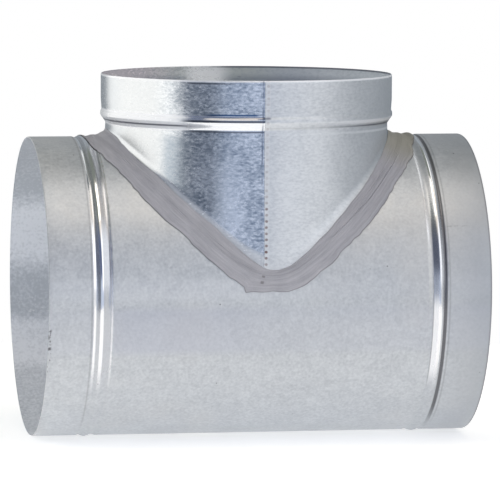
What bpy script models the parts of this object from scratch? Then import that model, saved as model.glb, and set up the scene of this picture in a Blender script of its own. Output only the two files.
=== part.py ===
# Ventilation duct tee in galvanised sheet steel, for 400 mm round duct.
# The run lies along X and the branch rises along +Z. The origin is where their centre lines cross.
# The branch is one rolled sheet whose foot is turned out into a saddle flange on the run,
# and a brushed band of sealant covers that flange.

import math
from collections import namedtuple

import bmesh
import bpy
import numpy as np

# Sheet, rolled beads and lap seams, in metres
SHEET = 0.0008
BEAD_WIDTH = 0.020
BEAD_HEIGHT = 0.0018
LAP_WIDTH = 0.012
JOGGLE_WIDTH = 0.030
CUT_EDGE = 0.0002

# Run
RUN_DIAMETER = 0.400
RUN_SHOULDER = 0.030
RUN_COLLAR = 0.0665
RUN_LAP_ANGLE = 104.0

# Branch
COLLAR_INSET = 0.005
BRANCH_COLLAR = 0.057
NECK_STEP = 0.006
NECK_REACH = 0.004
FOOT_INSET = 0.003
FLANGE_BEND = 0.012
FLANGE_WIDTH = 0.019
BRANCH_LAP_ANGLE = -93.0

# Sealant band
SEALANT_START = 0.4
SEALANT_WIDTH = 0.036
SEALANT_THICKNESS = 0.0014
SEALANT_EDGE = 0.0007
SEALANT_ON_BEAD = 0.007
SEALANT_WANDER = 0.0028
SEALANT_SLOW_WAVES = 5
SEALANT_QUICK_WAVES = 13

# Air left between pieces that seat on each other
SEAT_GAP = 0.0004

# Facets
ROUND_STEPS = 84
BEAD_STEPS = 6
BEND_STEPS = 5
CUTTER_OVERSHOOT = 0.030

RUN_RADIUS = RUN_DIAMETER / 2
SADDLE_RADIUS = RUN_RADIUS + SEAT_GAP
COLLAR_RADIUS = RUN_RADIUS - COLLAR_INSET
FOOT_RADIUS = RUN_RADIUS - FOOT_INSET
NECK_RADIUS = COLLAR_RADIUS - NECK_STEP
NECK_HEIGHT = RUN_RADIUS + FLANGE_BEND + NECK_REACH
BRANCH_BEAD_HEIGHT = NECK_HEIGHT + BEAD_WIDTH / 2
RIM_HEIGHT = BRANCH_BEAD_HEIGHT + BRANCH_COLLAR
RUN_BEAD_PLACE = FOOT_RADIUS + RUN_SHOULDER
RUN_BEAD_FOOT = RUN_BEAD_PLACE - BEAD_WIDTH / 2
RUN_END = RUN_BEAD_PLACE + RUN_COLLAR

Foot = namedtuple("Foot", "x arc height out_x out_arc")


def clear_scene():
    for item in list(bpy.data.objects):
        bpy.data.objects.remove(item)


def make_material(name, colour, metallic, roughness):
    material = bpy.data.materials.new(name)
    material.use_nodes = True
    shader = material.node_tree.nodes["Principled BSDF"]
    shader.inputs["Base Color"].default_value = (*colour, 1.0)
    shader.inputs["Metallic"].default_value = metallic
    shader.inputs["Roughness"].default_value = roughness
    return material


def smooth_step(share):
    share = np.clip(share, 0.0, 1.0)
    return share * share * (3 - 2 * share)


def bead_lift(distance):
    # A rolled bead is a round ridge: one wave of a raised cosine across its width.
    share = np.clip(np.abs(distance) / (BEAD_WIDTH / 2), 0.0, 1.0)
    return BEAD_HEIGHT * (0.5 + 0.5 * np.cos(math.pi * share))


def lap_stations(radius, lap_angle):
    # Angles round a rolled sheet, with how far its inner and outer faces are lifted at each.
    # The outer end of the sheet starts at lap_angle, lies on the inner end for LAP_WIDTH,
    # and comes down to the common radius over JOGGLE_WIDTH.
    edge, lap, joggle = (math.degrees(width / radius) for width in (CUT_EDGE, LAP_WIDTH, JOGGLE_WIDTH))
    stations = [(-edge, 0.0, 0.0), (0.0, 0.0, 1.0), (lap - edge, 0.0, 1.0), (lap, 1.0, 1.0)]
    for step in (1, 2, 3):
        lift = float(1 - smooth_step(step / 3))
        stations.append((lap + joggle * step / 3, lift, lift))
    start, full = lap + joggle, 360.0 - edge
    steps = round((full - start) / (360.0 / ROUND_STEPS))
    stations += [(start + (full - start) * i / steps, 0.0, 0.0) for i in range(1, steps)]
    table = np.array(stations)
    return np.radians(table[:, 0] + lap_angle), table[:, 1] * SHEET, table[:, 2] * SHEET


def grid_faces(rows, columns):
    # Faces of a closed skin: rows go round the section, columns go round the piece.
    return [
        (r * columns + c, r * columns + (c + 1) % columns,
         (r + 1) % rows * columns + (c + 1) % columns, (r + 1) % rows * columns + c)
        for r in range(rows) for c in range(columns)
    ]


def make_piece(name, points, material, sharp_angle=30.0):
    # points has the shape (rows round the section, columns round the piece, 3)
    rows, columns = points.shape[:2]
    mesh = bpy.data.meshes.new(name)
    mesh.from_pydata(points.reshape(-1, 3).tolist(), [], grid_faces(rows, columns))
    body = bmesh.new()
    body.from_mesh(mesh)
    bmesh.ops.recalc_face_normals(body, faces=body.faces)
    body.to_mesh(mesh)
    body.free()
    mesh.shade_smooth()
    mesh.set_sharp_from_angle(angle=math.radians(sharp_angle))
    if material:
        mesh.materials.append(material)
    piece = bpy.data.objects.new(name, mesh)
    bpy.context.scene.collection.objects.link(piece)
    return piece


def run_face(angles, lift, offset):
    # One face of the run's sheet: both rims and both beads, offset from the outer face.
    across = np.linspace(-0.5, 0.5, BEAD_STEPS + 1) * BEAD_WIDTH
    places = np.concatenate([[-RUN_END], across - RUN_BEAD_PLACE, across + RUN_BEAD_PLACE, [RUN_END]])
    radius = RUN_RADIUS + offset + bead_lift(np.abs(places) - RUN_BEAD_PLACE)[:, None] + lift[None, :]
    along = np.broadcast_to(places[:, None], radius.shape)
    return np.stack([along, radius * np.sin(angles), radius * np.cos(angles)], axis=-1)


def make_run(material):
    angles, inner_lift, outer_lift = lap_stations(RUN_RADIUS, RUN_LAP_ANGLE)
    outer = run_face(angles, outer_lift, 0.0)
    inner = run_face(angles, inner_lift, -SHEET)
    run = make_piece("run_tube", np.concatenate([outer, inner[::-1]]), material)
    cut = run.modifiers.new("saddle hole", "BOOLEAN")
    cut.operation = "DIFFERENCE"
    cut.solver = "EXACT"
    cut.object = make_hole_cutter()
    return run


def make_hole_cutter():
    # The hole in the run follows the inside of the branch's barrel.
    angles = np.linspace(0.0, 2 * math.pi, ROUND_STEPS, endpoint=False)
    rings = [
        np.stack([(radius - SHEET) * np.cos(angles), (radius - SHEET) * np.sin(angles),
                  np.full_like(angles, height)], axis=-1)
        for radius, height in (
            (FOOT_RADIUS, 0.0), (NECK_RADIUS, NECK_HEIGHT), (NECK_RADIUS, RUN_RADIUS + CUTTER_OVERSHOOT))
    ]
    cutter = make_piece("saddle_hole_cutter", np.array(rings), None)
    close_ends(cutter.data, len(rings), ROUND_STEPS)
    cutter.hide_render = True
    cutter.display_type = "WIRE"
    return cutter


def close_ends(mesh, rows, columns):
    # Turns a wrapped skin into a plug: its last row of faces gives way to two caps.
    body = bmesh.new()
    body.from_mesh(mesh)
    body.faces.ensure_lookup_table()
    wrap = [body.faces[(rows - 1) * columns + c] for c in range(columns)]
    bmesh.ops.delete(body, geom=wrap, context="FACES_ONLY")
    bmesh.ops.holes_fill(body, edges=[e for e in body.edges if e.is_boundary], sides=columns)
    bmesh.ops.recalc_face_normals(body, faces=body.faces)
    body.to_mesh(mesh)
    body.free()


def branch_radius(height):
    # Outer radius of the branch at a height: the collar, its bead, the step in to the neck
    # under the bead, and a barrel that spreads evenly down to the foot at the run's axis.
    spread = np.clip(1 - height / NECK_HEIGHT, 0.0, 1.0)
    barrel = NECK_RADIUS + (FOOT_RADIUS - NECK_RADIUS) * spread
    step = smooth_step((BRANCH_BEAD_HEIGHT - height) / (BEAD_WIDTH / 2))
    above = COLLAR_RADIUS + np.where(step > 0, BEAD_HEIGHT, bead_lift(height - BRANCH_BEAD_HEIGHT))
    return above + (barrel - above) * step


def foot_curve(angles):
    # Where the branch's barrel meets the saddle's cylinder round the run's axis.
    height = np.full_like(angles, SADDLE_RADIUS / 2)
    for _ in range(12):
        across = branch_radius(height) * np.sin(angles)
        height = np.sqrt(np.maximum(SADDLE_RADIUS**2 - across**2, 0.0))
    radius = branch_radius(height)
    return radius * np.cos(angles), radius * np.sin(angles), height


def lay_flat(angles):
    x, y, z = foot_curve(angles)
    return x, SADDLE_RADIUS * np.arctan2(y, z)


def trace_foot(angles):
    # The foot curve on the run's surface laid flat: distance along X, arc round X from the top,
    # height on the branch, and the outward direction square to the curve.
    x, arc = lay_flat(angles)
    nudge = 1e-4
    run_x, run_arc = (b - a for a, b in zip(lay_flat(angles - nudge), lay_flat(angles + nudge)))
    length = np.hypot(run_x, run_arc)
    return Foot(x, arc, foot_curve(angles)[2], run_arc / length, -run_x / length)


def on_wall(angles, height, offset):
    radius = branch_radius(height) + offset
    return np.stack([radius * np.cos(angles), radius * np.sin(angles), height], axis=-1)


def on_run(foot, distance, lift):
    # A point at a distance out from the foot curve, lifted off the run and its beads.
    x = foot.x + foot.out_x * distance
    turn = (foot.arc + foot.out_arc * distance) / SADDLE_RADIUS
    radius = SADDLE_RADIUS + lift + bead_lift(np.abs(x) - RUN_BEAD_PLACE)
    return np.stack([x, radius * np.sin(turn), radius * np.cos(turn)], axis=-1)


def reach_to(limit, foot, reach):
    # Shortens a reach over the run so that it stays within limit of the branch's centre line along X.
    room = limit - np.abs(foot.x)
    return np.minimum(reach, room / np.maximum(np.abs(foot.out_x), 1e-6))


def bend_rows(angles, foot, lift, offset, shares):
    # Rows round the bend between the branch's wall and its flange, offset from the sheet's inner face.
    start = on_wall(angles, foot.height + FLANGE_BEND, lift + offset - SHEET)
    low = on_wall(angles, foot.height + lift + offset, lift + offset - SHEET)
    corner = (low + on_run(foot, 0.0, lift + offset)) / 2
    end = on_run(foot, FLANGE_BEND, lift + offset)
    return [(1 - s) ** 2 * start + 2 * s * (1 - s) * corner + s**2 * end for s in shares]


def branch_face(angles, foot, lift, offset):
    # One face of the branch's sheet, from the rim to the flange's edge, offset from its inner face.
    bead = BRANCH_BEAD_HEIGHT + np.linspace(0.5, -0.5, BEAD_STEPS + 1) * BEAD_WIDTH
    rows = [on_wall(angles, np.full_like(angles, height), lift + offset - SHEET)
            for height in (RIM_HEIGHT, *bead)]
    rows += bend_rows(angles, foot, lift, offset, np.linspace(0.0, 1.0, BEND_STEPS + 1))
    width = reach_to(RUN_BEAD_FOOT, foot, FLANGE_WIDTH)
    rows += [on_run(foot, distance, lift + offset) for distance in ((FLANGE_BEND + width) / 2, width)]
    return np.array(rows)


def make_branch(material):
    angles, inner_lift, outer_lift = lap_stations(COLLAR_RADIUS, BRANCH_LAP_ANGLE)
    foot = trace_foot(angles)
    outer = branch_face(angles, foot, outer_lift, SHEET)
    inner = branch_face(angles, foot, inner_lift, 0.0)
    return make_piece("branch_collar", np.concatenate([outer, inner[::-1]]), material)


def sealant_reach(angles):
    # How far the band spreads from the foot curve: it is brushed by hand, so its edge wanders.
    slow = np.sin(SEALANT_SLOW_WAVES * angles)
    quick = np.sin(SEALANT_QUICK_WAVES * angles)
    return SEALANT_WIDTH + SEALANT_WANDER * (slow + quick) / 2


def make_sealant(material):
    angles, _, lift = lap_stations(COLLAR_RADIUS, BRANCH_LAP_ANGLE)
    foot = trace_foot(angles)
    shares = np.linspace(SEALANT_START, 1.0, 3)
    past_flange = reach_to(RUN_BEAD_FOOT, foot, FLANGE_WIDTH) + SEAT_GAP
    reach = reach_to(RUN_BEAD_FOOT + SEALANT_ON_BEAD, foot, sealant_reach(angles))
    seat = SHEET + SEAT_GAP
    full = seat + SEALANT_THICKNESS
    bed = [
        *bend_rows(angles, foot, lift, seat, shares),
        on_run(foot, (FLANGE_BEND + past_flange) / 2, lift + seat),
        on_run(foot, past_flange, lift + seat),
        on_run(foot, past_flange, lift),
        on_run(foot, (past_flange + reach) / 2, 0.0),
        on_run(foot, reach, 0.0),
    ]
    top = [
        *bend_rows(angles, foot, lift, seat + SEALANT_EDGE, shares[:1]),
        *bend_rows(angles, foot, lift, full, shares[1:]),
        on_run(foot, (FLANGE_BEND + past_flange) / 2, lift + full),
        on_run(foot, past_flange, lift + full),
        on_run(foot, (past_flange + reach) / 2, (lift + full + SEALANT_EDGE) / 2),
        on_run(foot, reach, SEALANT_EDGE),
    ]
    return make_piece("sealant_band", np.array(top + bed[::-1]), material)


def main():
    clear_scene()
    make_run(make_material("run_sheet", (0.62, 0.64, 0.66), 0.9, 0.35))
    make_branch(make_material("branch_sheet", (0.68, 0.70, 0.72), 0.9, 0.30))
    make_sealant(make_material("sealant", (0.30, 0.30, 0.31), 0.0, 0.6))


main()
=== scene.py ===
import math

import bpy
import numpy as np
from mathutils import Matrix, Vector


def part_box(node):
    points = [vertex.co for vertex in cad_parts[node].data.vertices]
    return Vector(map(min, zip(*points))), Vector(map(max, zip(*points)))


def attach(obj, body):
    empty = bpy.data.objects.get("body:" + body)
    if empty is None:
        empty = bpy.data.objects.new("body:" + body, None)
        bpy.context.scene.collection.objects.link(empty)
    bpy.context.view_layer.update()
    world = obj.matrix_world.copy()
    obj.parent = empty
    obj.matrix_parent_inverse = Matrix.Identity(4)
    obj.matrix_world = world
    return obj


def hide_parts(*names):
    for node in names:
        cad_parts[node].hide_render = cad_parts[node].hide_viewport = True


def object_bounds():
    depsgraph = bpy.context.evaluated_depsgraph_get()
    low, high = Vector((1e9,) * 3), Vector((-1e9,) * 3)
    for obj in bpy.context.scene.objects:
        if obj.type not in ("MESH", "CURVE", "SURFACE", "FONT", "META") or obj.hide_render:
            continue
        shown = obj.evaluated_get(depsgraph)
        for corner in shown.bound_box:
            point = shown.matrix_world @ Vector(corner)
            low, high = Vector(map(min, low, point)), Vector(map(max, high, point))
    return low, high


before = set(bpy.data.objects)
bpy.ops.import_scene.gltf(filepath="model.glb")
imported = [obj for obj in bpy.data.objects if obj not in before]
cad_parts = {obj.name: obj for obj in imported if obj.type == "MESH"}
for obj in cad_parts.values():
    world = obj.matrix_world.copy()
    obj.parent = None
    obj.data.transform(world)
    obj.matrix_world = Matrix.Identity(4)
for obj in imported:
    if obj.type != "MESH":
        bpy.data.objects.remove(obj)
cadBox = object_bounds()
millimetre = .001
sharpAngle = math.radians(40.0)  # edges sharper than this stay crisp
rimShares = np.array([0.0, .12, .33, .66])  # where the rows round a rim lie, in shares of its rounding
print("frame loaded:", ", ".join(sorted(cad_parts)))


# shapes: helpers that every piece uses

def smoothStep(share):
    # an S curve from 0 to 1
    share = np.clip(share, 0.0, 1.0)
    return share * share * (3 - 2 * share)


def hump(distance, width):
    # one wave of a raised cosine: 1 in the middle, 0 at half the width
    share = np.clip(np.abs(distance) / (width / 2), 0.0, 1.0)
    return .5 + .5 * np.cos(math.pi * share)


def ringNoise(around, across, cellsAround, cellsAcross, seed):
    # random heights, -1 to 1, on a lattice that closes round the ring, blended with S curves
    heights = np.random.default_rng(seed).uniform(-1, 1, (cellsAround, cellsAcross + 2))
    u = (around / (2 * math.pi)) % 1.0 * cellsAround
    v = np.clip(across, 0.0, 1.0) * cellsAcross
    i, j = np.floor(u).astype(int), np.floor(v).astype(int)
    su, sv = smoothStep(u - i), smoothStep(v - j)
    i0, i1 = i % cellsAround, (i + 1) % cellsAround
    low = heights[i0, j] * (1 - su) + heights[i1, j] * su
    high = heights[i0, j + 1] * (1 - su) + heights[i1, j + 1] * su
    return low * (1 - sv) + high * sv


def layeredNoise(around, across, layers):
    # each layer is its cells round the ring, cells across, seed and weight
    return sum(weight * ringNoise(around, across, *cells) for *cells, weight in layers)


def skinFaces(rows, columns):
    # quads of a skin that closes both round its section (rows) and round the ring (columns)
    r, c = np.meshgrid(np.arange(rows), np.arange(columns), indexing="ij")
    nextRow, nextColumn = (r + 1) % rows, (c + 1) % columns
    return np.stack([r * columns + c, r * columns + nextColumn,
                     nextRow * columns + nextColumn, nextRow * columns + c], axis=-1).reshape(-1, 4)


def innerMark(rows, columns):
    # 0 on the outer skin, 1 on the inner one
    mark = np.zeros((2 * rows, columns))
    mark[rows:] = 1.0
    return {"inner": mark}


def ringAngles(count):
    # even angles once round
    return np.linspace(0.0, 2 * math.pi, count, endpoint=False)


def ringPoints(radius, angles, height):
    # points round the Z axis: radius · cos angle, radius · sin angle, height
    return np.stack(np.broadcast_arrays(radius * np.cos(angles), radius * np.sin(angles), height), axis=-1)


def addPiece(name, data):
    # puts a mesh, a lamp or a camera into the scene
    piece = bpy.data.objects.new(name, data)
    bpy.context.scene.collection.objects.link(piece)
    return piece


def addMesh(name, points, faces):
    mesh = bpy.data.meshes.new(name)
    mesh.from_pydata(points.reshape(-1, 3), [], faces)
    return addPiece(name, mesh)


def makeSkin(name, points, marks, flip=False, sharp=sharpAngle):
    # points: rows round the section, columns round the ring; marks: a number for each point
    rows, columns = points.shape[:2]
    faces = skinFaces(rows, columns)
    if flip:
        faces = faces[:, ::-1]
    piece = addMesh(name, points, faces.tolist())
    for key, values in marks.items():
        mark = piece.data.attributes.new(key, "FLOAT", "POINT")
        mark.data.foreach_set("value", values.astype(np.float32).ravel())
    piece.data.shade_smooth()
    piece.data.set_sharp_from_angle(angle=sharp)
    return piece


def lapAngles(radius, lapAngle, sizes):
    # angles round a rolled sheet, and how far its inner and outer faces lift at each (0 to 1): the outer end
    # starts at lapAngle, lies on the inner end, then eases down
    edge, lap, joggle = (math.degrees(sizes[key] / radius) for key in ("cutEdge", "lapWidth", "joggleWidth"))
    inJoggle = np.linspace(0.0, 1.0, sizes["joggleSteps"] + 1)[1:]
    ease = 1 - smoothStep(inJoggle)
    fullTurn = 360.0 - edge
    steps = round((fullTurn - lap - joggle) / 360.0 * sizes["steps"])
    plain = np.linspace(lap + joggle, fullTurn, steps + 1)[1:-1]
    angles = np.concatenate([[-edge, 0.0, lap / 2, lap - edge, lap], lap + joggle * inJoggle, plain])
    inner = np.concatenate([[0, 0, 0, 0, 1], ease, np.zeros_like(plain)])
    outer = np.concatenate([[0, 1, 1, 1, 1], ease, np.zeros_like(plain)])
    return np.radians(angles + lapAngle), inner, outer


# the run

runSizes = {
    "radius": .2, "sheet": .0008, "cutEdge": .0002, "lapWidth": .012, "joggleWidth": .03,
    "joggleSteps": 8, "steps": 288, "lapAngle": 104.0,
    "beadPlace": .224, "ridgeHeight": .0024, "grooveDepth": .0012,
    # the ridge's foot and the groove's far edge, towards the duct's end and towards its middle
    "endSide": (.0072, .0118), "middleSide": (.0105, .0158),
    "beadReach": .017, "beadSteps": 60, "collarSteps": 3, "rimRound": .0016, "rimTurn": .0006,
    "stationGap": .011, "dent": .00016, "dentLayers": ((9, 5, 3, 1.0), (17, 9, 4, .5)),
}
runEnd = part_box("run_tube")[1].x


def runBead(x, sizes):
    # a ridge, one wave of a raised cosine, that stands in a shallow channel with S-shaped sides
    distance = np.abs(x) - sizes["beadPlace"]
    foot = np.where(distance > 0, sizes["endSide"][0], sizes["middleSide"][0])
    far = np.where(distance > 0, sizes["endSide"][1], sizes["middleSide"][1])
    ridge = sizes["ridgeHeight"] * hump(distance, 2 * foot)
    channel = 1 - smoothStep((np.abs(distance) - foot) / (far - foot))
    return ridge - sizes["grooveDepth"] * channel


def buildRun(sizes):
    # a cylinder round X: radius plus bead, lap lift and slow dents, for the outer and the inner face
    angles, innerLift, outerLift = lapAngles(sizes["radius"], sizes["lapAngle"], sizes)
    reach = sizes["beadReach"]
    bead = np.linspace(-reach, reach, sizes["beadSteps"] + 1)
    place = sizes["beadPlace"]
    middle = np.linspace(-place + reach, place - reach, round(2 * (place - reach) / sizes["stationGap"]) + 1)
    rimStart = runEnd - sizes["rimRound"]
    collar = np.concatenate([np.linspace(place + reach, rimStart, sizes["collarSteps"] + 1)[1:],
                             runEnd - sizes["rimRound"] * rimShares[::-1]])
    x = np.concatenate([-collar[::-1], bead - place, middle[1:-1], bead + place, collar])
    deepest = sizes["dent"] * sum(layer[-1] for layer in sizes["dentLayers"])

    def face(lift, offset):
        grid = np.broadcast_to(angles, (len(x), len(angles)))
        along = np.broadcast_to(((x / runEnd + 1) / 2)[:, None], grid.shape)
        dents = layeredNoise(grid, along, sizes["dentLayers"])
        rim = np.clip(1 - (runEnd - np.abs(x)) / sizes["rimRound"], 0.0, 1.0) ** 2 * sizes["rimTurn"]
        radius = (sizes["radius"] + offset + (runBead(x, sizes) - rim)[:, None]
                  + lift * sizes["sheet"] + sizes["dent"] * dents)
        return np.stack([np.broadcast_to(x[:, None], radius.shape),
                         radius * np.sin(grid), radius * np.cos(grid)], axis=-1)

    outer = face(outerLift, -deepest)
    inner = face(innerLift, -sizes["sheet"] - deepest)
    run = makeSkin("runTubeDressed", np.concatenate([outer, inner[::-1]]), innerMark(len(x), len(angles)))
    cutSaddleHole(run)
    return run


# the branch

branchSizes = {
    "collarRadius": .195, "neckRadius": .189, "footRadius": .197, "saddleRadius": .2004,
    "sheet": .0008, "cutEdge": .0002, "lapWidth": .012, "joggleWidth": .03,
    "joggleSteps": 8, "steps": 300, "lapAngle": -93.0,
    "neckHeight": .216, "barrelTop": .216, "stepLow": .218, "stepHigh": .2282, "stepCone": .7,
    "shoulderLow": .2318, "shoulderHigh": .2362, "shoulderLift": .0006,
    "grooveTop": .252, "grooveDepth": .0008, "rimRound": .0018, "rimTurn": .0007,
    "bend": .012, "flange": .019, "beadClear": .0085, "flangeShares": (.33, .67, 1.0),
    "rimRows": 6, "beadRows": 72, "barrelRows": 14, "bendRows": 10, "footRepeats": 12,
    "dent": .00014, "dentCells": (11, 6, 8), "holeSides": 240, "holeAbove": .03,
}
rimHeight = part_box("branch_collar")[1].z


def branchRadius(height, sizes=branchSizes):
    # a collar with groove and shoulder, a step (mostly a cone) in to the neck, and a spreading barrel
    spread = np.clip(1 - height / sizes["neckHeight"], 0.0, 1.0)
    barrel = sizes["neckRadius"] + (sizes["footRadius"] - sizes["neckRadius"]) * spread
    share = np.clip((sizes["stepHigh"] - height) / (sizes["stepHigh"] - sizes["stepLow"]), 0.0, 1.0)
    step = sizes["stepCone"] * share + (1 - sizes["stepCone"]) * smoothStep(share)
    groove = smoothStep((sizes["grooveTop"] - height) / (sizes["grooveTop"] - sizes["shoulderHigh"]))
    rise = smoothStep((sizes["shoulderHigh"] - height) / (sizes["shoulderHigh"] - sizes["shoulderLow"]))
    rim = np.clip(1 - (rimHeight - height) / sizes["rimRound"], 0.0, 1.0) ** 2
    above = (sizes["collarRadius"] - sizes["grooveDepth"] * groove - sizes["rimTurn"] * rim
             + (sizes["grooveDepth"] + sizes["shoulderLift"]) * rise)
    return above + (barrel - above) * step


def footCurve(angles, sizes=branchSizes):
    # where barrel and saddle meet: height = sqrt(saddle² - (radius · sin angle)²), solved by repeats
    height = np.full_like(angles, sizes["saddleRadius"] / 2)
    for _ in range(sizes["footRepeats"]):
        across = branchRadius(height) * np.sin(angles)
        height = np.sqrt(np.maximum(sizes["saddleRadius"] ** 2 - across ** 2, 0.0))
    radius = branchRadius(height)
    return radius * np.cos(angles), radius * np.sin(angles), height


def traceFoot(angles, sizes=branchSizes):
    # the foot curve on the run laid flat (x, arc), and the outward direction square to it
    def flat(at):
        x, y, z = footCurve(at)
        return x, sizes["saddleRadius"] * np.arctan2(y, z)

    nudge = 1e-4
    x, arc = flat(angles)
    before, after = flat(angles - nudge), flat(angles + nudge)
    alongX, alongArc = after[0] - before[0], after[1] - before[1]
    length = np.hypot(alongX, alongArc)
    return {"x": x, "arc": arc, "height": footCurve(angles)[2],
            "outX": alongArc / length, "outArc": -alongX / length}


def onWall(angles, height, offset):
    # a point on the branch's wall, offset outwards
    return ringPoints(branchRadius(height) + offset, angles, height)


def onRun(foot, distance, lift):
    # a point out from the foot curve, lifted off the run and its beads
    x = foot["x"] + foot["outX"] * distance
    turn = (foot["arc"] + foot["outArc"] * distance) / branchSizes["saddleRadius"]
    radius = branchSizes["saddleRadius"] + lift + runBead(x, runSizes)
    return np.stack([x, radius * np.sin(turn), radius * np.cos(turn)], axis=-1)


def reachTo(limit, foot, reach):
    # keeps a reach within limit along X
    room = limit - np.abs(foot["x"])
    return np.minimum(reach, room / np.maximum(np.abs(foot["outX"]), 1e-6))


def onBend(angles, foot, lift, share):
    # the bend: a curve that leaves the wall, heads for the corner and lands on the run
    bend = branchSizes["bend"]
    sheet = branchSizes["sheet"]
    start = onWall(angles, foot["height"] + bend, lift - sheet)
    low = onWall(angles, foot["height"] + lift, lift - sheet)
    corner = (low + onRun(foot, 0.0, lift)) / 2
    end = onRun(foot, bend, lift)
    share = np.asarray(share)[..., None]
    return (1 - share) ** 2 * start + 2 * share * (1 - share) * corner + share ** 2 * end


def buildBranch(sizes):
    # wall rows from the rim down, then the bend, then the flange, for the outer and the inner face
    angles, innerLift, outerLift = lapAngles(sizes["collarRadius"], sizes["lapAngle"], sizes)
    foot = traceFoot(angles)
    sheet = sizes["sheet"]
    rimStart = rimHeight - sizes["rimRound"]
    rim = np.concatenate([rimHeight - sizes["rimRound"] * rimShares,
                          np.linspace(rimStart, sizes["grooveTop"], sizes["rimRows"])[:-1]])
    bead = np.linspace(sizes["grooveTop"], sizes["barrelTop"], sizes["beadRows"])
    width = reachTo(runSizes["beadPlace"] - sizes["beadClear"], foot, sizes["flange"])

    def face(lift, side):
        def dents(height):
            return sizes["dent"] * ringNoise(angles, height / rimHeight, *sizes["dentCells"])

        offset = lift * sheet + (side - 1) * sheet
        rows = [onWall(angles, np.full_like(angles, h), offset + dents(h)) for h in (*rim, *bead)]
        top = np.full_like(angles, sizes["barrelTop"])
        bottom = foot["height"] + sizes["bend"]
        for share in np.linspace(0.0, 1.0, sizes["barrelRows"] + 1)[1:-1]:
            height = top + (bottom - top) * share
            calm = 1 - share ** 4  # dents fade where the wall meets the bend
            rows.append(onWall(angles, height, offset + calm * dents(height)))
        over = lift * sheet + side * sheet
        rows += [onBend(angles, foot, over, s) for s in np.linspace(0.0, 1.0, sizes["bendRows"] + 1)]
        for share in sizes["flangeShares"]:
            rows.append(onRun(foot, sizes["bend"] + (width - sizes["bend"]) * share, over))
        return np.array(rows)

    outer, inner = face(outerLift, 1), face(innerLift, 0)
    return makeSkin("branchCollarDressed", np.concatenate([outer, inner[::-1]]),
                    innerMark(len(outer), len(angles)), flip=True)


def cutSaddleHole(run):
    # a plug that follows the inside of the barrel is taken out of the run
    sizes = branchSizes
    angles = ringAngles(sizes["holeSides"])
    heights = np.array([0.0, sizes["neckHeight"], sizes["neckHeight"] + sizes["holeAbove"]])
    radii = branchRadius(heights) - sizes["sheet"]
    radii[2] = radii[1]
    columns = len(angles)
    sides = skinFaces(3, columns)[:2 * columns]
    caps = [list(range(columns))[::-1], list(range(2 * columns, 3 * columns))]
    plug = addMesh("saddlePlug", ringPoints(radii[:, None], angles, heights[:, None]), sides.tolist() + caps)
    cut = run.modifiers.new("saddle hole", "BOOLEAN")
    cut.operation, cut.solver, cut.object = "DIFFERENCE", "EXACT", plug
    shown = run.evaluated_get(bpy.context.evaluated_depsgraph_get())
    holed = bpy.data.meshes.new_from_object(shown)
    run.modifiers.clear()
    run.data = holed
    holed.name = "runTubeDressed"
    holed.shade_smooth()
    holed.set_sharp_from_angle(angle=sharpAngle)
    bpy.data.objects.remove(plug)


# the sealant band

sealantSizes = {
    "columns": 900, "acrossRows": 56, "thickness": .0011, "edge": .00025, "seatGap": .0003,
    "brush": .00032, "lump": .00035, "reach": .036, "sharpAngle": math.radians(60.0),
    # how far inside the ridge the bead's foot lies, how far the band climbs on it, and the flange's edge
    "beadFoot": .0075, "onBead": .007, "footGap": .001, "pastFlange": .0004,
    # ring noises: cells round the ring, cells across, seed and weight
    "wander": ((23, 1, 21, .0025), (61, 1, 22, .0015)), "ragged": ((190, 1, 23, .001),),
    "upperRagged": ((90, 1, 24, .03),),
    "strokes": ((14, 46, 31, 1.0), (37, 80, 32, .6)), "lumps": ((60, 6, 33, 1.0),),
    # the outer edge at the front: angle in degrees, reach in millimetres
    "frontEdge": [(-150, 35), (-143, 35), (-136, 38), (-124, 38), (-121, 37), (-119, 35.5), (-106, 36.5),
                  (-98, 38.5), (-96, 40), (-95.2, 45), (-93.8, 40), (-90, 35.5), (-87, 39.5), (-83, 41),
                  (-78, 37.5),
                  (-74, 40), (-70, 37.5), (-64, 38.5), (-58, 41), (-50, 39.5), (-40, 36.5), (-33, 37),
                  (-24, 39)],
    # the upper edge at the front: angle in degrees, share of the bend
    "upperEdge": [(-180, .14), (-165, .22), (-152, .45), (-137, .38), (-128, .46), (-110, .4), (-98, .62),
                  (-88, .88), (-78, .8), (-62, .66), (-50, .64), (-39, .48), (-28, .34),
                  (-15, .17), (0, .14)],
    "edgeFade": 6,  # degrees
    # the crotches, by the angle's cosine: start and width; the upper edge climbs there
    "crotch": (.9, .08), "upperPlain": .45, "crotchClimb": .31, "fillet": .0022, "filletPlace": .17,
    "thinAt": (.88, .08), "thinning": .85,
    # shares across the band: ends of bend and flange, rise of the paste's edges, and rows of the bed
    "bendEnd": .3, "flangeEnd": .65, "upperRise": .08, "lowerRise": .1, "drop": 2.2,
    "bedShares": (0.0, .15, .3, .65, .85, 1.0),
    # a line that the trowel left on the right arm: angle in degrees, share across the band
    "trowel": .0009, "trowelWidth": .05, "trowelFrom": (-74, 8), "trowelTo": (-20, 10),
    "trowelPlace": [(-74, .42), (-66, .48), (-58, .58), (-50, .66), (-30, .64)],
}


def toDegrees(angles):
    # -180 to 180, with the front at -90
    return np.degrees(np.arctan2(np.sin(angles), np.cos(angles)))


def bandEdge(angles, pairs, plain, fade):
    # follows the pairs by straight steps at the front, and the plain value elsewhere
    degrees = toDegrees(angles)
    at, value = np.array(pairs, float).T
    inside = smoothStep((degrees - at[0] + fade) / fade) * smoothStep((at[-1] + fade - degrees) / fade)
    return plain + (np.interp(degrees, at, value) - plain) * inside


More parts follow.
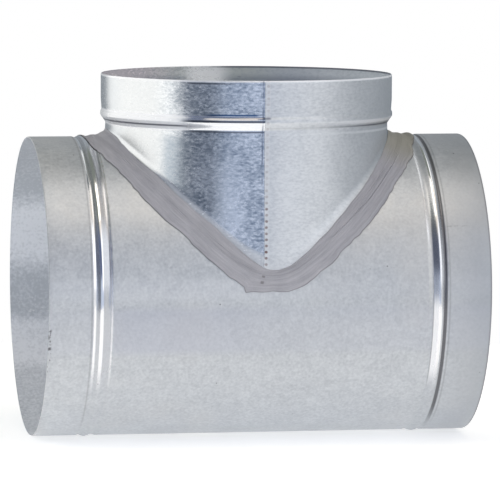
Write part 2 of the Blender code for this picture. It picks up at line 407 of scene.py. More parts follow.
def buildSealant(sizes):
    # a bed that follows bend, flange and run, and a brushed top: strokes run round the band, lumps are slow
    angles = ringAngles(sizes["columns"])
    flat, fade = np.zeros_like(angles), sizes["edgeFade"]
    foot = traceFoot(angles)
    wander = sizes["reach"] + layeredNoise(angles, flat, sizes["wander"])
    edge = bandEdge(angles, sizes["frontEdge"], wander / millimetre, fade) * millimetre
    edge = edge + layeredNoise(angles, flat, sizes["ragged"])
    beadFoot = runSizes["beadPlace"] - sizes["beadFoot"]
    reach = reachTo(beadFoot + sizes["onBead"], foot, edge)
    past = reachTo(beadFoot - sizes["footGap"], foot, branchSizes["flange"]) + sizes["pastFlange"]
    # the paste fills the corner where it crosses the top of the run
    towardsTop = np.abs(np.cos(angles))
    crotch = smoothStep((towardsTop - sizes["crotch"][0]) / sizes["crotch"][1])
    plain = sizes["upperPlain"] - sizes["crotchClimb"] * crotch
    start = (bandEdge(angles, sizes["upperEdge"], plain, fade)
             + layeredNoise(angles, flat, sizes["upperRagged"]))
    seat = branchSizes["sheet"] + sizes["seatGap"]
    bend, bendEnd, flangeEnd = branchSizes["bend"], sizes["bendEnd"], sizes["flangeEnd"]

    def along(share, lift):
        # round the bend up to bendEnd, over the flange up to flangeEnd, and over the run to the outer edge
        if share <= bendEnd:
            return onBend(angles, foot, seat + lift, start + (1 - start) * min(share / bendEnd, 1.0))
        if share <= flangeEnd:
            distance = bend + (past - bend) * (share - bendEnd) / (flangeEnd - bendEnd)
            return onRun(foot, distance, seat + lift)
        out = (share - flangeEnd) / (1 - flangeEnd)
        drop = seat * (1 - smoothStep(out * sizes["drop"]))
        return onRun(foot, past + (reach - past) * out, drop + lift)

    shares = np.linspace(0.0, 1.0, sizes["acrossRows"])
    degrees = toDegrees(angles)
    thin = 1 - sizes["thinning"] * smoothStep((towardsTop - sizes["thinAt"][0]) / sizes["thinAt"][1])
    (first, firstFade), (last, lastFade) = sizes["trowelFrom"], sizes["trowelTo"]
    trowelled = smoothStep((degrees - first) / firstFade) * smoothStep((last - degrees) / lastFade)
    trowelPlace = np.interp(degrees, *zip(*sizes["trowelPlace"]))
    top = []
    for share in shares:
        across = np.full_like(angles, share)
        body = smoothStep(share / sizes["upperRise"]) * smoothStep((1 - share) / sizes["lowerRise"]) * thin
        strokes = layeredNoise(angles, across, sizes["strokes"])
        lumps = layeredNoise(angles, across, sizes["lumps"])
        line = hump(share - trowelPlace, sizes["trowelWidth"]) * trowelled * sizes["trowel"]
        lift = sizes["edge"] + body * (sizes["thickness"] + sizes["brush"] * strokes
                                          + sizes["lump"] * lumps - line)
        lift = lift + sizes["fillet"] * crotch * hump(share - sizes["filletPlace"], 2 * sizes["filletPlace"])
        top.append(along(share, np.maximum(lift, sizes["edge"])))
    bed = [along(share, flat) for share in sizes["bedShares"]]
    allShares = np.concatenate([shares, sizes["bedShares"][::-1]])
    shape = (len(allShares), len(angles))
    marks = {"across": np.broadcast_to(allShares[:, None], shape),
             "alongX": np.broadcast_to(np.cos(angles), shape),
             "alongY": np.broadcast_to(np.sin(angles), shape)}
    return makeSkin("sealantBandDressed", np.array(top + bed[::-1]), marks, flip=True,
                    sharp=sizes["sharpAngle"])


# materials

def operator(kind, swapped=False):
    # a method for a sign of arithmetic; swapped is for a number before the sign
    def apply(self, other):
        return self.maths(kind, other, self) if swapped else self.maths(kind, self, other)

    return apply


class Wire:
    # a socket that can be used in sums: each operator adds its Math node
    __add__, __radd__ = operator("ADD"), operator("ADD", True)
    __sub__, __rsub__ = operator("SUBTRACT"), operator("SUBTRACT", True)
    __mul__, __rmul__ = operator("MULTIPLY"), operator("MULTIPLY", True)
    __truediv__, __pow__ = operator("DIVIDE"), operator("POWER")

    def __init__(self, bench, socket):
        self.bench, self.socket = bench, socket

    def maths(self, operation, *values):
        return self.bench.add("ShaderNodeMath", {"operation": operation}, dict(enumerate(values)))

    def beside(self, output):
        # another output of the same node
        return Wire(self.bench, self.socket.node.outputs[output])

    def absolute(self):
        return self.maths("ABSOLUTE", self)

    def fraction(self):
        return self.maths("FRACT", self)

    def clamp(self):
        return self.bench.add("ShaderNodeClamp", {}, {"Value": self})

    def towards(self, target, share):
        return self + (target - self) * share

    def ease(self, low, high, full=1.0, none=0.0):
        # none at low, full at high, with an S curve between
        inputs = {"Value": self, "From Min": low, "From Max": high, "To Max": full, "To Min": none}
        return self.bench.add("ShaderNodeMapRange", {"interpolation_type": "SMOOTHSTEP"}, inputs)


class Bench:
    # one node tree, and one method that adds any node to it
    def __init__(self, tree):
        self.tree = tree

    def add(self, kind, settings, inputs, output=0):
        node = self.tree.nodes.new(kind)
        for key, value in settings.items():
            setattr(node, key, value)
        for key, value in inputs.items():
            if isinstance(value, Wire):
                self.tree.links.new(value.socket, node.inputs[key])
            else:
                node.inputs[key].default_value = value
        return Wire(self, node.outputs[output]) if node.outputs else None

    def mix(self, factor, first, second):
        first, second = (colour if isinstance(colour, Wire) else (*colour, 1.0) for colour in (first, second))
        return self.add("ShaderNodeMix", {"data_type": "RGBA"}, {0: factor, 6: first, 7: second}, output=2)

    def coordinates(self, kind="Object"):
        # a place, and its X, Y and Z
        place = self.add("ShaderNodeTexCoord", {}, {}, kind)
        x = self.add("ShaderNodeSeparateXYZ", {}, {0: place})
        return place, x, x.beside("Y"), x.beside("Z")

    def attribute(self, name):
        return self.add("ShaderNodeAttribute", {"attribute_name": name}, {}, "Fac")

    def noise(self, place, scale, detail=2.0, roughness=.5):
        inputs = {"Vector": place, "Scale": scale, "Detail": detail, "Roughness": roughness}
        return self.add("ShaderNodeTexNoise", {}, inputs)

    def spangle(self, place, scale):
        # one random grey per crystal
        colour = self.add("ShaderNodeTexVoronoi", {}, {"Vector": place, "Scale": scale}, "Color")
        return self.add("ShaderNodeSeparateColor", {}, {0: colour})


def startMaterial(name, fixed):
    material = bpy.data.materials.new(name)
    material.use_nodes = True
    bench = Bench(material.node_tree)
    shader = material.node_tree.nodes["Principled BSDF"]
    for key, value in fixed.items():
        shader.inputs[key].default_value = value
    return material, bench, shader


def connect(material, shader, links):
    for key, wire in links.items():
        material.node_tree.links.new(wire.socket, shader.inputs[key])
    return material


def stretched(bench, place, scale):
    return bench.add("ShaderNodeMapping", {}, {"Vector": place, "Scale": scale})


def between(value, low, high, soft, full=1.0):
    # full between low and high, with soft edges
    return value.ease(low - soft, low + soft, full) * (1 - value.ease(high - soft, high + soft))


def readZones(looks):
    # short ways to use the named zones: a band has two soft ends, a slope climbs once
    def band(value, name):
        return between(value, *looks["bands"][name])

    def slope(value, name):
        return value.ease(*looks["slopes"][name])

    return band, slope


def varied(weights, *noises):
    # a plain value plus each noise about its middle times its own weight, kept between 0 and 1
    total = weights[0]
    for weight, noise in zip(weights[1:], noises):
        total = total + (noise - .5) * weight
    return total.clamp()


def lay(bench, looks, base, coats):
    # lays coats over a base colour: where each lies, how much of it (0 to 1) and the name of its colour
    for where, amount, colour in coats:
        base = bench.mix(where * amount, base, looks[colour])
    return base


def bumped(bench, looks, height):
    inputs = {"Strength": looks["bumpStrength"], "Distance": looks["bumpDistance"], "Height": height}
    return bench.add("ShaderNodeBump", {}, inputs)


def specks(bench, place, scale, size, share):
    # small spots, softer over their outer part, scattered in a share of the cells
    softFrom, softness = .6, .01
    near = bench.add("ShaderNodeTexVoronoi", {}, {"Vector": place, "Scale": scale})
    pick = bench.add("ShaderNodeSeparateColor", {}, {0: near.beside("Color")})
    return (1 - near.ease(size * softFrom, size)) * pick.ease(1 - share, 1 - share + softness)


runLooks = {
    "dark": (.38, .4, .43), "light": (.61, .63, .65), "warm": (.66, .63, .58),
    "bright": (.95, .95, .96), "flank": (.52, .53, .56), "bluishReflection": (.43, .45, .54),
    "inside": (.94, .96, 1.0), "insideDark": (.57, .6, .64), "grimeAndShade": (.1, .1, .11),
    "metallic": .48, "flankMetallic": .85, "polishedMetallic": 1.0, "innerMetallic": .12,
    "roughness": .43, "roughnessSpread": .1, "flankRoughness": .22, "polishedRoughness": .12,
    "bumpStrength": .25, "bumpDistance": .002, "slowHeight": .45, "grainHeight": .02,
    # noises: scale, detail and roughness
    "noises": {"mottle": (22.0, 3.0), "grain": (260.0, 2.0), "patches": (6.0, 2.0), "nicks": (240.0, 2.0),
               "scratch": (160.0, 2.0), "crinkle": (190.0, 3.0, .7), "slow": (14.0, 1.0)},
    "spangleScale": 130.0, "crinkleStretch": (.6, 1.0, 1.6), "scratchSlant": .03,
    "rightDull": .8, "floorReflectionDull": .7,
    "specks": (45.0, .055, .2),  # scale, size and share of the cells
    "tone": (.68, .4, 1.2, .24),  # a plain value, then weights for mottle, grain and crystal
    "liningWeights": (.6, 1.5),  # for mottle and grain
    # bands: low end, high end and their softness, in metres, most of them along Z; then how much, if not 1
    "bands": {
        # outwards from the ridge of a bead
        "flank": (-.0115, .008, .0012), "flankGap": (-.013, -.0088, .0008),
        "crown": (-.0018, .0026, .0009), "outerWall": (.0076, .0108, .0009),
        "innerWall": (-.0145, -.0122, .0008, .6), "innerSide": (-.008, -.0012, .0008),
        "grooveShade": (.005, .0098, .0008), "farGrooveShade": (.0122, .0142, .0008, .3),
        "thinDarkLine": (-.0094, -.0082, .0005, .4),
        "crownDull": (-.01, .09, .02, .6), "thinDarkLineHeight": (-.12, .02, .01),
        "sideDarkReflection": (.035, .1, .012, .4),
        "floorReflection": (-.11, -.004, .015), "nicks": (-.098, -.035, .006),
        "scratchAlong": (.238, .262, .006), "scratchHeight": (.0815, .0832, .0006),
        "bluishReflection": (-.072, -.012, .008), "pale": (-.002, .026, .008),
        "liningHigh": (.012, .1, .022, .85), "liningLow": (-.125, -.062, .012, .85),
        "glints": (-.056, -.034, .004),
    },
    # slopes: start and end, in metres along X or Z, or as the value of a noise; then their values at the end
    # and at the start, if not 1 and 0
    "slopes": {
        "reached": (-.135, -.075), "right": (-.05, .05), "flankTop": (.11, .15, .6),
        "innerWallTop": (.05, .09),
        "nicks": (.56, .62), "leftRim": (-.291, -.2885), "rightRim": (.2905, .2925, .5),
        "scratch": (.4, .6, .45),
        "grooved": (-.195, -.15), "patches": (.45, .75), "rightEndShade": (.2, .31),
        "bluishReflectionLeft": (-.26, -.18, 1.0, .4), "bluishReflectionRight": (-.12, .05, .55), "paleEnd": (-.02, .12, .3, 1.0),
        "liningFoot": (-.145, -.115, .08, .48), "liningTop": (.1, .18), "crinkle": (.6, .7),
        "glintEnd": (-.26, -.21),
    },
}


def makeRunZinc(looks):
    # soft grey zinc: slow mottling, fine grain and faint crystals; the rollers polished the beads
    material, bench, shader = startMaterial("runZinc", {})
    band, slope = readZones(looks)
    place, x, _, z = bench.coordinates()
    noise = {name: bench.noise(place, *kind) for name, kind in looks["noises"].items() if name != "crinkle"}
    mottle, grain = noise["mottle"], noise["grain"]
    crystal = bench.spangle(place, looks["spangleScale"])
    inner = bench.attribute("inner")
    outside = 1 - inner
    right = slope(x, "right")
    # brightest on the ridge's crown and on the walls of its grooves
    beyond = x.absolute() - runSizes["beadPlace"]
    reached = outside * slope(z, "reached")
    flank = (band(beyond, "flank") * (1 - band(beyond, "flankGap") * right)
             * (1 - slope(z, "flankTop") * right) * reached)
    crown = band(beyond, "crown") * (1 - band(z, "crownDull") * right)
    outerWall = band(beyond, "outerWall") * (1 - right * looks["rightDull"])
    innerWall = band(beyond, "innerWall") * (1 - right * (1 - slope(z, "innerWallTop")))
    polished = (crown + outerWall + innerWall).clamp() * reached
    # nicks along the left rim, and a short scratch across the right collar
    nicks = slope(noise["nicks"], "nicks") * (1 - slope(x, "leftRim")) * band(z, "nicks")
    scratch = (band(x, "scratchAlong") * band(z - x * looks["scratchSlant"], "scratchHeight")
               * slope(noise["scratch"], "scratch"))
    # on the right the ridge's inner side has a painted dark reflection high up and a painted floor reflection
    # lower down, and painted shade darkens the grooves
    innerSide = band(beyond, "innerSide") * right * outside
    floorReflection = innerSide * band(z, "floorReflection")
    # painted shade darkens the grooves, and a thin dark line runs inside the right ridge; the nicks, the scratch
    # and the specks share the same dark colour
    grooveShade = (band(beyond, "grooveShade") * right + band(beyond, "farGrooveShade")
                  + band(beyond, "thinDarkLine") * right * band(z, "thinDarkLineHeight"))
    marksAndShade = (nicks + scratch + slope(x, "rightRim") * outside + innerSide * band(z, "sideDarkReflection")
            + grooveShade * outside * slope(z, "grooved"))
    # a painted bluish reflection lies along one band, and the sheet is paler along the next
    bluishReflection = band(z, "bluishReflection") * (slope(x, "bluishReflectionLeft") - slope(x, "bluishReflectionRight"))
    pale = band(z, "pale") * slope(x, "paleEnd")
    grey = bench.mix(varied(looks["tone"], mottle, grain, crystal), looks["dark"], looks["light"])
    # painted shade darkens the run towards its right end
    colour = lay(bench, looks, grey, [
        (slope(noise["patches"], "patches"), .3, "warm"), (slope(x, "rightEndShade"), .8, "dark"),
        (bluishReflection, .45, "bluishReflection"), (pale, .16, "bright"), (specks(bench, place, *looks["specks"]), .75, "grimeAndShade"),
        (flank, .7, "flank"), (polished, .9, "bright"), (floorReflection, .9, "bright"), (marksAndShade.clamp(), .9, "grimeAndShade")])
    # the inside is duller, and painted lighter than the outside to stand in for the light that reaches it, with
    # two lighter bands along the sheet, lighter at its foot and darker near the top
    lit = slope(z, "liningFoot") + band(z, "liningHigh") + band(z, "liningLow")
    lit = varied((lit, *looks["liningWeights"]), mottle, grain)
    lining = bench.mix(lit, looks["insideDark"], looks["inside"])
    lining = lay(bench, looks, lining, [(slope(z, "liningTop"), .45, "dark")])
    crinkle = bench.noise(stretched(bench, place, looks["crinkleStretch"]), *looks["noises"]["crinkle"])
    glints = slope(crinkle, "crinkle") * band(z, "glints") * (1 - slope(x, "glintEnd"))
    lining = bench.mix(glints, lining, looks["bright"])
    colour = bench.mix(inner, colour, lining)
    spread = looks["roughnessSpread"]
    dull = looks["roughness"] + (grain - .5) * spread + (crystal - .5) * spread
    rubbed = dull.towards(looks["flankRoughness"], flank)
    roughness = rubbed.towards(looks["polishedRoughness"], polished)
    plain = ((looks["metallic"] + flank * (looks["flankMetallic"] - looks["metallic"]))
             * (1 - floorReflection * looks["floorReflectionDull"]))
    metallic = (plain.towards(looks["polishedMetallic"], polished)
                + inner * (looks["innerMetallic"] - looks["metallic"]))
    normal = bumped(bench, looks, noise["slow"] * looks["slowHeight"] + grain * looks["grainHeight"])
    return connect(material, shader, {"Base Color": colour, "Roughness": roughness, "Metallic": metallic,
                                      "Normal": normal})


branchLooks = {
    "dark": (.27, .32, .38), "light": (.86, .89, .93), "bright": (.92, .93, .95),
    "smooth": (.57, .585, .6), "dull": (.7, .72, .74), "dullDark": (.5, .525, .555),
    "backShade": (.4, .43, .46), "line": (.1, .11, .14), "blueReflection": (.05, .12, .25),
    "gleam": (1.0, .92, .84), "seam": (.1, .13, .2), "burn": (.13, .055, .05),
    "weldBright": (.85, .84, .84), "innerLight": (.9, .9, .89), "innerLeft": (.7, .64, .66),
    "innerMiddle": (.5, .53, .51), "innerRight": (.53, .57, .61),
    "glossRoughness": .24, "dullRoughness": .4, "polishedRoughness": .12, "fleckRoughness": .1,
    "crystalRoughness": .06, "glossMetallic": .95, "dullMetallic": .5, "innerMetallic": .25,
    "bumpStrength": .25, "bumpDistance": .002, "slowHeight": .5, "fleckHeight": .015, "markDepth": .12,
    "seamAngle": -93.0, "markPlace": .45, "markLean": .9,  # in degrees round the branch
    "markPitch": .008, "markAcross": .0021, "markAlong": .0018, "markWander": 1.2,
    # noises: scale, detail and roughness
    "noises": {"flecks": (170.0, 3.0, .6), "cloud": (26.0, 2.0), "slow": (12.0, 1.0), "markWander": (95.0, 1.0),
               "markStrength": (60.0, 1.0), "shade": (45.0, 2.0)},
    "spangleScale": 240.0, "fleckStretch": (1.0, 1.0, 2.0), "spangleStretch": (1.0, 1.0, 1.6),
    "glossTone": (.5, 2.1, .35, 1.0),  # a plain value, then weights for flecks, crystal and cloud
    "dullTone": (.7, 2.3, .7),  # the same for flecks and cloud
    "rimPolish": .6, "dulling": (.75, .6, .8, .7),  # for matt step, foot, gleam and rim
    "innerFlecks": (.55, 1.3),  # the flecks darker than this show inside, by this much
    # bands, as above, in metres along Z, in turns round the branch, or as said
    "bands": {
        "step": (.2165, .2375, .0015), "mattShadeLine": (.2218, .2242, .0006), "upperLine": (.228, .2311, .0004),
        "lowerLine": (.2146, .2168, .0005, .8), "rimLine": (.2779, .2799, .0005, .8),
        "rimLineTurn": (.035, .085, .01),
        "blueReflection": (.2366, .239, .0005), "gleam": (.2314, .234, .0005), "dullShadeLine": (.2197, .2217, .0008),
        "upperLight": (.2238, .2285, .0012), "lowerLight": (.211, .214, .001, .6),
        "spotAngle": (-.061, -.014, .008, .7),  # radians
        "spotHeight": (.2328, .2352, .0008),
        "lighterTurn": (.026, .058, .014), "lighterHeight": (.085, .175, .025),
        "shadowStripTurn": (.084, .116, .008),
        "edgeShadeStrip": (.75, .792, .008),
        "innerLight": (-.05, .006, .015),  # along X
        "shade": (-3.6, -2.5, .4, .65),  # in widths of a stitch mark
    },
    # slopes, in the same units
    "slopes": {
        "dull": (.3, .75), "rubbed": (.076, .098), "besideFrom": (.004, .01), "besideTo": (.056, .07),
        "rightward": (.25, .95, 1.0, .18),  # radians
        "rim": (.28, .2812), "smooth": (.08, .135), "farDark": (.165, .21), "shadowStripTop": (.2, .216),
        "sillHeight": (.006, .013), "sillTurn": (.1, .14), "backShade": (.76, .97),
        "innerMiddle": (-.13, -.04), "innerRight": (.02, .1), "innerRimShadow": (-.03, .02),  # along X
        "innerDeepShade": (.264, .275), "fainter": (.11, .145, .25, 1.0), "shadeHigh": (.135, .165, 1.0, .25),
        # the value of a noise, or squared distance from a stitch mark's middle
        "strength": (.3, .62, 1.0, .3), "shade": (.36, .56), "mark": (.35, 1.5), "strip": (1.2, 3.2),
    },
}


def weldMarks(bench, angle, z, looks):
    # a row of stitch marks beside the seam: an oval for each pitch of height, none quite alike
    band, slope = readZones(looks)
    upright = bench.add("ShaderNodeCombineXYZ", {}, {2: z})
    wander, strength, broken = (bench.noise(upright, *looks["noises"][name])
                                for name in ("markWander", "markStrength", "shade"))
    leaning = z * math.radians(looks["markLean"]) / rimHeight
    off = angle - math.radians(looks["seamAngle"] + 90.0 + looks["markPlace"]) - leaning
    across = (off * branchSizes["collarRadius"] / looks["markAcross"]
              + (wander - .5) * looks["markWander"])
    along = ((z / looks["markPitch"]).fraction() - .5) * looks["markPitch"] / looks["markAlong"]
    marks = ((1 - slope(across * across + along * along, "mark"))
             * slope(strength, "strength") * slope(z, "fainter"))
    # the sheet's edge casts a thin broken line
    shade = band(across, "shade") * slope(broken, "shade") * slope(z, "shadeHigh")
    return marks, 1 - slope(across * across, "strip"), shade


def makeBranchZinc(looks):
    # glossier zinc with small dark crystals, which dulls round the sheet towards its other end
    material, bench, shader = startMaterial("branchZinc", {})
    band, slope = readZones(looks)
    noises = looks["noises"]
    place, x, y, z = bench.coordinates()
    angle = x.maths("ARCTAN2", x, y * -1.0)  # 0 at the front, growing to the right
    marks, strip, shade = weldMarks(bench, angle, z, looks)
    inner = bench.attribute("inner")
    outside = 1 - inner
    # the turn grows from the seam, leftwards round the back, to the seam again
    turn = ((math.radians(looks["seamAngle"] + 90.0) - angle) / (2 * math.pi)).fraction()
    dull = slope(turn, "dull")
    glossyEnd = 1 - dull
    # the step is bright beside the seam; further left it is matt and painted white as a painted highlight, and
    # painted lines of shade run along it and under the rim
    rubbed = 1 - slope(turn, "rubbed")
    stepZone = band(z, "step") * glossyEnd * outside
    polished, mattPaintedHighlight = stepZone * rubbed, stepZone * (1 - rubbed)
    paintedShadeLines = (band(z, "upperLine") + band(z, "lowerLine")) * rubbed * glossyEnd
    rimLine = band(z, "rimLine") * band(turn, "rimLineTurn")
    line = (band(z, "mattShadeLine") * mattPaintedHighlight + paintedShadeLines + rimLine).clamp() * outside
    # beside the seam a painted blue reflection and a painted warm highlight run along the step
    beside = (1 - slope(turn, "besideTo")) * slope(turn, "besideFrom") * outside
    blueReflection, gleam = band(z, "blueReflection") * beside, band(z, "gleam") * beside
    # on the dull end the step is a painted highlight over a painted line of shade, with a fainter painted
    # highlight below
    rightward = slope(angle, "rightward") * dull * outside
    dullShadeLine = band(z, "dullShadeLine") * rightward
    dullPaintedHighlight = (band(z, "upperLight") + band(z, "lowerLight")) * rightward
    # the rim's outer edge carries a painted highlight, and is smoother and less metallic than the wall
    rim = slope(z, "rim")
    rimOutside = rim * outside
    # flux left a dark spot where the seam crosses the bead
    spot = band(angle, "spotAngle") * band(z, "spotHeight") * outside
    flecks = bench.noise(stretched(bench, place, looks["fleckStretch"]), *noises["flecks"])
    crystal = bench.spangle(stretched(bench, place, looks["spangleStretch"]), looks["spangleScale"])
    cloud = bench.noise(place, *noises["cloud"])
    glossy = bench.mix(varied(looks["glossTone"], flecks, crystal, cloud), looks["dark"], looks["light"])
    # the barrel is painted lighter beside the seam, a painted shadow strip runs down it further left, and its
    # foot is duller
    overFoot = z - (branchSizes["saddleRadius"] ** 2 - y * y) ** .5
    sill = (1 - slope(overFoot, "sillHeight")) * (1 - slope(turn, "sillTurn")) * glossyEnd
    glossy = lay(bench, looks, glossy, [
        (band(turn, "lighterTurn") * band(z, "lighterHeight"), .35, "light"),
        (slope(turn, "smooth"), .9, "smooth"), (slope(turn, "farDark"), .22, "dark"),
        (band(turn, "shadowStripTurn") * (1 - slope(z, "shadowStripTop")), .6, "dark"), (sill, .7, "dull")])
    # painted shade darkens the dull end towards the back, most along one upright strip
    calm = bench.mix(varied(looks["dullTone"], flecks, cloud), looks["dullDark"], looks["dull"])
    calm = lay(bench, looks, calm, [
        (1 - slope(turn, "backShade"), .9, "backShade"), (band(turn, "edgeShadeStrip"), .8, "dark")])
    colour = lay(bench, looks, bench.mix(dull, glossy, calm), [
        (rimOutside, .8, "bright"), (polished, .85, "bright"), (mattPaintedHighlight, .85, "bright"),
        ((line + dullShadeLine).clamp(), .9, "line"), (dullPaintedHighlight, .8, "bright"), (blueReflection, .95, "blueReflection"),
        (gleam, .9, "gleam"), (strip, .25, "weldBright")])
    colour = bench.mix((shade + spot).clamp(), colour, looks["seam"])
    colour = lay(bench, looks, colour, [(marks, .9, "burn")])
    # the inside: rosy on the left, greenish in the middle, bluish on the right, with painted shade deeper down
    # and a painted shadow along the rim
    lining = bench.mix(slope(x, "innerMiddle"), looks["innerLeft"], looks["innerMiddle"])
    lining = bench.mix(slope(x, "innerRight"), lining, looks["innerRight"])
    darker, contrast = looks["innerFlecks"]
    lining = bench.mix(((darker - flecks) * contrast).clamp(), lining, looks["dark"])
    light = band(x, "innerLight")
    lining = lay(bench, looks, lining, [
        (light, .85, "innerLight"), ((1 - slope(z, "innerDeepShade")) * (1 - light), .45, "seam"),
        (rim * slope(x, "innerRimShadow"), .8, "line")])
    colour = bench.mix(inner, colour, lining)
    sheen = (looks["glossRoughness"] + dull * (looks["dullRoughness"] - looks["glossRoughness"])
             + (flecks - .5) * looks["fleckRoughness"] + (crystal - .5) * looks["crystalRoughness"])
    smoothed = (polished + rimOutside * looks["rimPolish"]).clamp()
    roughness = sheen.towards(looks["polishedRoughness"], smoothed)
    metallic = looks["glossMetallic"] + dull * (looks["dullMetallic"] - looks["glossMetallic"])
    for where, amount in zip((mattPaintedHighlight, sill, gleam, rimOutside), looks["dulling"]):
        metallic = metallic * (1 - where * amount)
    metallic = metallic.towards(looks["innerMetallic"], inner)
    slow = bench.noise(place, *noises["slow"])
    height = slow * looks["slowHeight"] + flecks * looks["fleckHeight"] - marks * looks["markDepth"]
    return connect(material, shader, {"Base Color": colour, "Roughness": roughness, "Metallic": metallic,
                                      "Normal": bumped(bench, looks, height)})


sealantLooks = {
    "dark": (.3, .3, .33), "light": (.51, .5, .53), "rim": (.12, .11, .11), "olive": (.28, .265, .19),
    "edgeShadeAndStitches": .65, "specular": .35, "roughness": .62, "roughnessSpread": .15,
    "bumpStrength": .45, "bumpDistance": .0004, "poreHeight": .6, "streakHeight": 1.2,
    "noises": {"cloud": (35.0, 3.0), "pores": (700.0, 2.0), "streaks": (2.2, 4.0, .6)},
    "streakPlace": (3.0, 3.0, 14.0),  # how closely streaks lie: along X, along Y and across the band
    "tone": (.5, .7, 1.5, .4),  # a plain value, then weights for cloud, streaks and pores
    # shares of the band's width (across), or of the ring's reach along X and Y
    "bands": {"awayFromEdges": (0.0, .985, .012), "stitchPlace": (-.05, -.036, .003, .6),
              "upperStitch": (.53, .65, .02), "lowerStitch": (.735, .8, .015)},
    "slopes": {"rightArm": (.25, .65), "overTop": (.8, .96), "back": (-.1, .1)},
}


def makeSealantFinish(looks):
    # matt grey paste: fine pores, cloudy tone, streaks along the band, and painted shade along its edges
    material, bench, shader = startMaterial("brushedSealant", {"Specular IOR Level": looks["specular"]})
    band, slope = readZones(looks)
    noises = looks["noises"]
    place = bench.coordinates()[0]
    across, alongX, alongY = (bench.attribute(name) for name in ("across", "alongX", "alongY"))
    ways = zip((alongX, alongY, across), looks["streakPlace"])
    ring = bench.add("ShaderNodeCombineXYZ", {}, dict(enumerate(way * scale for way, scale in ways)))
    streaks = bench.noise(ring, *noises["streaks"])
    cloud, pores = (bench.noise(place, *noises[name]) for name in ("cloud", "pores"))
    colour = bench.mix(varied(looks["tone"], cloud, streaks, pores), looks["dark"], looks["light"])
    # darker on the right arm, and yellower over the top of the run
    colour = lay(bench, looks, colour, [
        (slope(alongX, "rightArm"), .3, "dark"), (slope(alongX, "overTop"), .65, "olive")])
    # two of the weld's stitch marks show through it
    stitches = band(alongX, "stitchPlace") * (band(across, "upperStitch") + band(across, "lowerStitch"))
    # both edges are darkened with painted shade, and the stitch marks are laid in the same dark colour
    edgeShadeAndStitches = (1 - band(across, "awayFromEdges")) * looks["edgeShadeAndStitches"] + stitches * (1 - slope(alongY, "back"))
    colour = bench.mix(edgeShadeAndStitches, colour, looks["rim"])
    roughness = looks["roughness"] + (pores - .5) * looks["roughnessSpread"]
    normal = bumped(bench, looks, pores * looks["poreHeight"] + cloud + streaks * looks["streakHeight"])
    return connect(material, shader, {"Base Color": colour, "Roughness": roughness, "Normal": normal})


# stage, light and camera

stageSettings = {"floorRadius": 1.15, "floorSides": 128, "floorGap": .0005,
                 "floorColour": (.93, .93, .93, 1.0), "floorRoughness": .9, "floorSpecular": .1, "floorGlow": .46}


def makeStage(settings):
    # a round pale floor under the run
    sides = settings["floorSides"]
    low = cadBox[0][2] - settings["floorGap"]
    points = ringPoints(settings["floorRadius"], ringAngles(sides), low)
    floor = addMesh("floor", points, [list(range(sides))])
    # a translucent white table, lit a little from under
    fixed = {"Base Color": settings["floorColour"], "Roughness": settings["floorRoughness"],
             "Specular IOR Level": settings["floorSpecular"], "Emission Color": (1.0, 1.0, 1.0, 1.0),
             "Emission Strength": settings["floorGlow"]}
    floor.data.materials.append(startMaterial("paleFloor", fixed)[0])


lightSettings = {
    # name: place, aim, size in metres, power in watts, colour
    "topPanel": ((.12, -.9, 2.6), (0.0, 0.0, 0.0), (1.6, 1.6), 10.5, (1.0, .95, .87)),
}


def makeLights(settings):
    for name, (place, aim, size, power, colour) in settings.items():
        lamp = bpy.data.lights.new(name, "AREA")
        lamp.shape, lamp.size, lamp.size_y = "RECTANGLE", size[0], size[1]
        lamp.energy, lamp.color = power, colour
        holder = addPiece(name, lamp)
        holder.location = place
        holder.rotation_euler = (Vector(aim) - Vector(place)).to_track_quat("-Z", "Y").to_euler()


worldSettings = {
    # radiance of each part of the room
    "base": (.32, .35, .38), "front": (.58, .65, .8), "dim": (.185, .215, .275), "left": (1.65, 1.63, 1.57),
    "right": (.85, .86, .88), "frontHigh": (.12, .15, .25), "window": (1.45, 1.47, 1.52),
    "top": (.88, .8, .71), "behindTop": (.2, .22, .2), "skylight": (1.1, 1.1, 1.08),
    # azimuths in degrees, 0 at the front
    "dimFrom": -66.0, "dimTo": -31.0, "frontTo": 34.0, "windowFrom": 13.0, "leftFrom": -152.0,
    "rightTo": 64.0,
    "soft": 7.0,
    # along one axis of the direction; notFarLeft is in degrees
    "slopes": {"upperWall": (.1, .28), "opening": (-.02, .1), "ahead": (-.1, .1), "notFarLeft": (-24.0, -4.0),
               "overhead": (.9, .97), "skylight": (.32, .46), "ceiling": (.58, .8)},
}


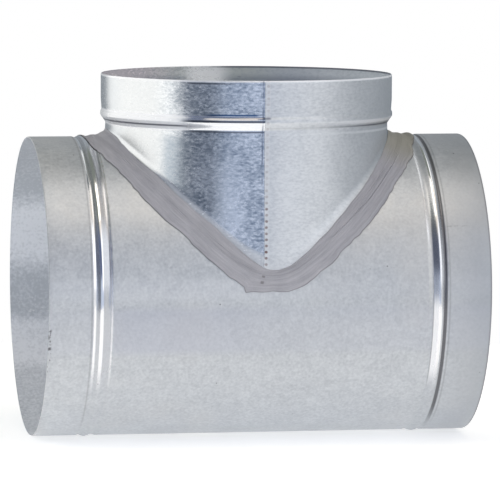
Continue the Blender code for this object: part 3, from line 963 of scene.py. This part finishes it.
def makeWorld(settings):
    # the camera sees a white backdrop; the metal sees a room with windows left, right and above, dim in front
    world = bpy.data.worlds.new("softRoom")
    bpy.context.scene.world = world
    world.use_nodes = True
    bench = Bench(world.node_tree)
    world.node_tree.nodes.clear()
    slope = readZones(settings)[1]
    _, x, y, z = bench.coordinates("Generated")
    azimuth = x.maths("ARCTAN2", x, y * -1.0) * (180 / math.pi)

    def wall(start, end):
        return between(azimuth, settings[start], settings[end], settings["soft"])

    colour = settings["base"]
    for part, start, end in (("dim", "dimFrom", "dimTo"), ("front", "dimTo", "frontTo"),
                             ("left", "leftFrom", "dimFrom"), ("right", "frontTo", "rightTo")):
        colour = bench.mix(wall(start, end), colour, settings[part])
    # high up the front wall is dark on the left and a window on the right
    colour = bench.mix(slope(z, "upperWall") * wall("dimFrom", "windowFrom"), colour, settings["frontHigh"])
    colour = bench.mix(slope(z, "opening") * wall("windowFrom", "rightTo"), colour, settings["window"])
    # the ceiling: a warm panel ahead, and behind it dark with a skylight on the right
    ahead = slope(y * -1.0, "ahead") * (slope(azimuth, "notFarLeft") + slope(z, "overhead")).clamp()
    behind = bench.mix(slope(x, "skylight"), settings["behindTop"], settings["skylight"])
    ceiling = bench.mix(ahead, behind, settings["top"])
    colour = bench.mix(slope(z, "ceiling"), colour, ceiling)
    room = bench.add("ShaderNodeBackground", {}, {"Color": colour, "Strength": 1.0})
    backdrop = bench.add("ShaderNodeBackground", {}, {"Color": (1.0, 1.0, 1.0, 1.0), "Strength": 1.0})
    seen = bench.add("ShaderNodeLightPath", {}, {})
    mixed = bench.add("ShaderNodeMixShader", {}, {0: seen, 1: room, 2: backdrop})
    bench.add("ShaderNodeOutputWorld", {}, {"Surface": mixed})


cameraSettings = {"azimuth": 10.32, "elevation": 5.17, "roll": .27, "distance": 6.162, "aside": .0062,
                  "above": .045, "lens": 329.8, "sensor": 36.0, "clipEnd": 100.0}


def makeCamera(settings):
    # looks from the azimuth and elevation, with a small roll, past the centre by aside and above
    azimuth, elevation, roll = (math.radians(settings[key]) for key in ("azimuth", "elevation", "roll"))
    back = Vector((-math.sin(azimuth) * math.cos(elevation), -math.cos(azimuth) * math.cos(elevation),
                   math.sin(elevation)))
    side = Vector((math.cos(azimuth), -math.sin(azimuth), 0.0))
    up = back.cross(side)
    right = side * math.cos(roll) + up * math.sin(roll)
    top = up * math.cos(roll) - side * math.sin(roll)
    place = back * settings["distance"] + right * settings["aside"] + top * settings["above"]
    lens = bpy.data.cameras.new("photoCamera")
    lens.lens, lens.sensor_width, lens.clip_end = settings["lens"], settings["sensor"], settings["clipEnd"]
    camera = addPiece("photoCamera", lens)
    camera.matrix_world = Matrix.Translation(place) @ Matrix((right, top, back)).transposed().to_4x4()
    bpy.context.scene.camera = camera


def dress(piece, material, node):
    piece.data.materials.clear()
    piece.data.materials.append(material)
    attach(piece, "root")
    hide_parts(node)


scene = bpy.context.scene
scene.view_settings.view_transform = "Standard"
makeCamera(cameraSettings)
makeStage(stageSettings)
makeLights(lightSettings)
makeWorld(worldSettings)
print("camera, floor and lights ready")

dress(buildRun(runSizes), makeRunZinc(runLooks), "run_tube")
print("run built")
dress(buildBranch(branchSizes), makeBranchZinc(branchLooks), "branch_collar")
print("branch built")
dress(buildSealant(sealantSizes), makeSealantFinish(sealantLooks), "sealant_band")
print("sealant built")
